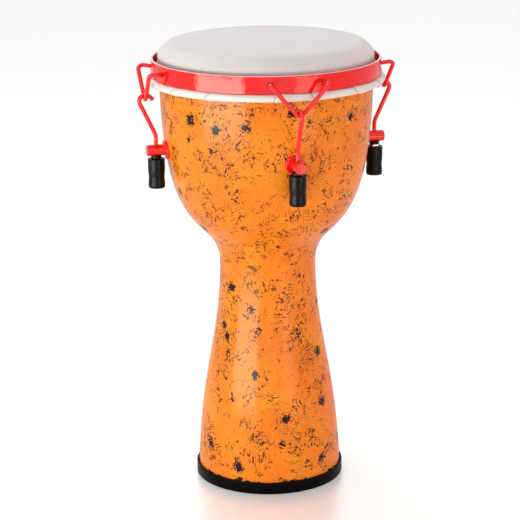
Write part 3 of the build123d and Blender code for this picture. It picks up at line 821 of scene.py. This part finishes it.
VIEW_AZIMUTH = radians(-15)
CAMERA_DISTANCE = 2.3377
CAMERA_HEIGHT = 0.9184
CAMERA_PITCH = radians(15.589)
CAMERA_ROLL = radians(0.50)
FOCAL_LENGTH = 139.9       # mm on a 36 mm sensor
FRAME_SHIFT = -0.0148

# What lights matt surfaces, as a share of the white that is seen, and the radiance of each lamp.
AMBIENT = 0.50
LEFT_LIGHT = 7.4
RIGHT_LIGHT = 3.4
WARM_LIGHT = 2.0
FRONT_LIGHT = 0.35
TOP_LIGHT = 2.2
TABLE_REACH = 14.0
TABLE_SHINE = 0.40


def camera():
    """Long lens, a little above the head and looking slightly down."""
    data = bpy.data.cameras.new("camera")
    data.lens = FOCAL_LENGTH
    data.sensor_width = 36
    data.shift_x = FRAME_SHIFT
    data.clip_end = 50
    view = bpy.data.objects.new("camera", data)
    view.location = (CAMERA_DISTANCE * sin(VIEW_AZIMUTH), -CAMERA_DISTANCE * cos(VIEW_AZIMUTH), CAMERA_HEIGHT)
    view.rotation_mode = "XYZ"
    turn = Euler((pi / 2 - CAMERA_PITCH, 0, VIEW_AZIMUTH)).to_matrix() @ Matrix.Rotation(-CAMERA_ROLL, 3, "Z")
    view.rotation_euler = turn.to_euler()
    bpy.context.scene.collection.objects.link(view)
    bpy.context.scene.camera = view


def softbox(name, radiance, side, distance, low, high, width, colour=(1.0, 1.0, 1.0), mirrored=True):
    """Upright soft light, side degrees to the right of the camera's side of the drum, facing its axis."""
    azimuth = VIEW_AZIMUTH + radians(side)
    data = bpy.data.lights.new(name, "AREA")
    data.shape = "RECTANGLE"
    data.size = width
    data.size_y = high - low
    data.energy = radiance * pi * width * (high - low)
    data.color = colour
    lamp = bpy.data.objects.new(name, data)
    lamp.location = (distance * sin(azimuth), -distance * cos(azimuth), (low + high) / 2)
    facing = Vector((0, 0, 0.3)) - lamp.location
    lamp.rotation_euler = facing.to_track_quat("-Z", "Y").to_euler()
    lamp.visible_glossy = mirrored
    bpy.context.scene.collection.objects.link(lamp)


def skylight(radiance):
    """Wide soft light above and behind the drum."""
    data = bpy.data.lights.new("skylight", "AREA")
    data.shape = "SQUARE"
    data.size = 1.6
    data.energy = radiance * pi * data.size**2
    lamp = bpy.data.objects.new("skylight", data)
    lamp.location = (-0.35, 1.05, 2.10)
    lamp.rotation_euler = (Vector((0, 0, 0.5)) - lamp.location).to_track_quat("-Z", "Y").to_euler()
    bpy.context.scene.collection.objects.link(lamp)


def surroundings():
    """Even white all round; what lights matt surfaces is dimmer than what is seen or mirrored."""
    world = bpy.data.worlds.new("surroundings")
    bpy.context.scene.world = world
    world.use_nodes = True
    nodes, links = world.node_tree.nodes, world.node_tree.links
    background = nodes["Background"]
    background.inputs["Color"].default_value = (1.0, 1.0, 1.0, 1.0)
    rays = nodes.new("ShaderNodeLightPath")
    seen = None
    for kind in ("Is Camera Ray", "Is Glossy Ray", "Is Transmission Ray"):
        either = nodes.new("ShaderNodeMath")
        either.operation = "MAXIMUM"
        links.new(rays.outputs[kind], either.inputs[0])
        if seen:
            links.new(seen.outputs[0], either.inputs[1])
        seen = either
    strength = nodes.new("ShaderNodeMapRange")
    strength.inputs["To Min"].default_value = AMBIENT
    strength.inputs["To Max"].default_value = 1.0
    links.new(seen.outputs[0], strength.inputs["Value"])
    links.new(strength.outputs[0], background.inputs["Strength"])


def white_table():
    """Glossy white table: seen, it is near white with a faint shadow and a soft mirror image."""
    table = Finish("white_table", base_color=(0.80, 0.80, 0.80), roughness=0.6, specular_ior_level=0.0,
                   emission_strength=0.31, emission_color=(1.0, 0.995, 0.985))
    bounce = table.node("ShaderNodeBsdfDiffuse", None, {"Color": (0.86, 0.86, 0.86)})
    mirror = table.node("ShaderNodeBsdfAnisotropic", None, {"Color": (1.0, 1.0, 1.0), "Roughness": 0.30})
    body = Field(table, table.shader.outputs[0])
    seen = table.node("ShaderNodeMixShader", None, {0: TABLE_SHINE, 1: body, 2: mirror})
    camera_ray = table.node("ShaderNodeLightPath", output="Is Camera Ray")
    whole = table.node("ShaderNodeMixShader", None, {0: camera_ray, 1: bounce, 2: seen})
    surface = next(n for n in table.nodes if n.type == "OUTPUT_MATERIAL")
    table.links.new(whole.socket, surface.inputs["Surface"])
    mesh = bpy.data.meshes.new("table")
    corners = [(x * TABLE_REACH, y * TABLE_REACH, 0) for x, y in ((-1, -1), (1, -1), (1, 1), (-1, 1))]
    mesh.from_pydata(corners, [], [(0, 1, 2, 3)])
    mesh.materials.append(table.material)
    top = bpy.data.objects.new("table", mesh)
    bpy.context.scene.collection.objects.link(top)


def studio():
    """White table and surroundings, low windows left and right, a warm glow from the right, light above.

    The warm glow is soft light alone: nothing mirrors its lamp.
    """
    surroundings()
    white_table()
    softbox("window_left", LEFT_LIGHT, side=-45, distance=1.30, low=0.01, high=0.38, width=1.15,
            colour=(0.95, 1.0, 0.85))
    softbox("window_right", RIGHT_LIGHT, side=39, distance=1.30, low=0.01, high=0.38, width=0.50,
            colour=(1.0, 0.66, 0.50))
    softbox("warm_side", WARM_LIGHT, side=75, distance=1.30, low=0.05, high=0.60, width=0.70,
            colour=(1.0, 0.30, 0.15), mirrored=False)
    softbox("front_fill", FRONT_LIGHT, side=10, distance=1.90, low=0.02, high=0.80, width=1.20)
    skylight(TOP_LIGHT)


build_drum()
studio()
camera()
bpy.context.scene.view_settings.view_transform = "Standard"
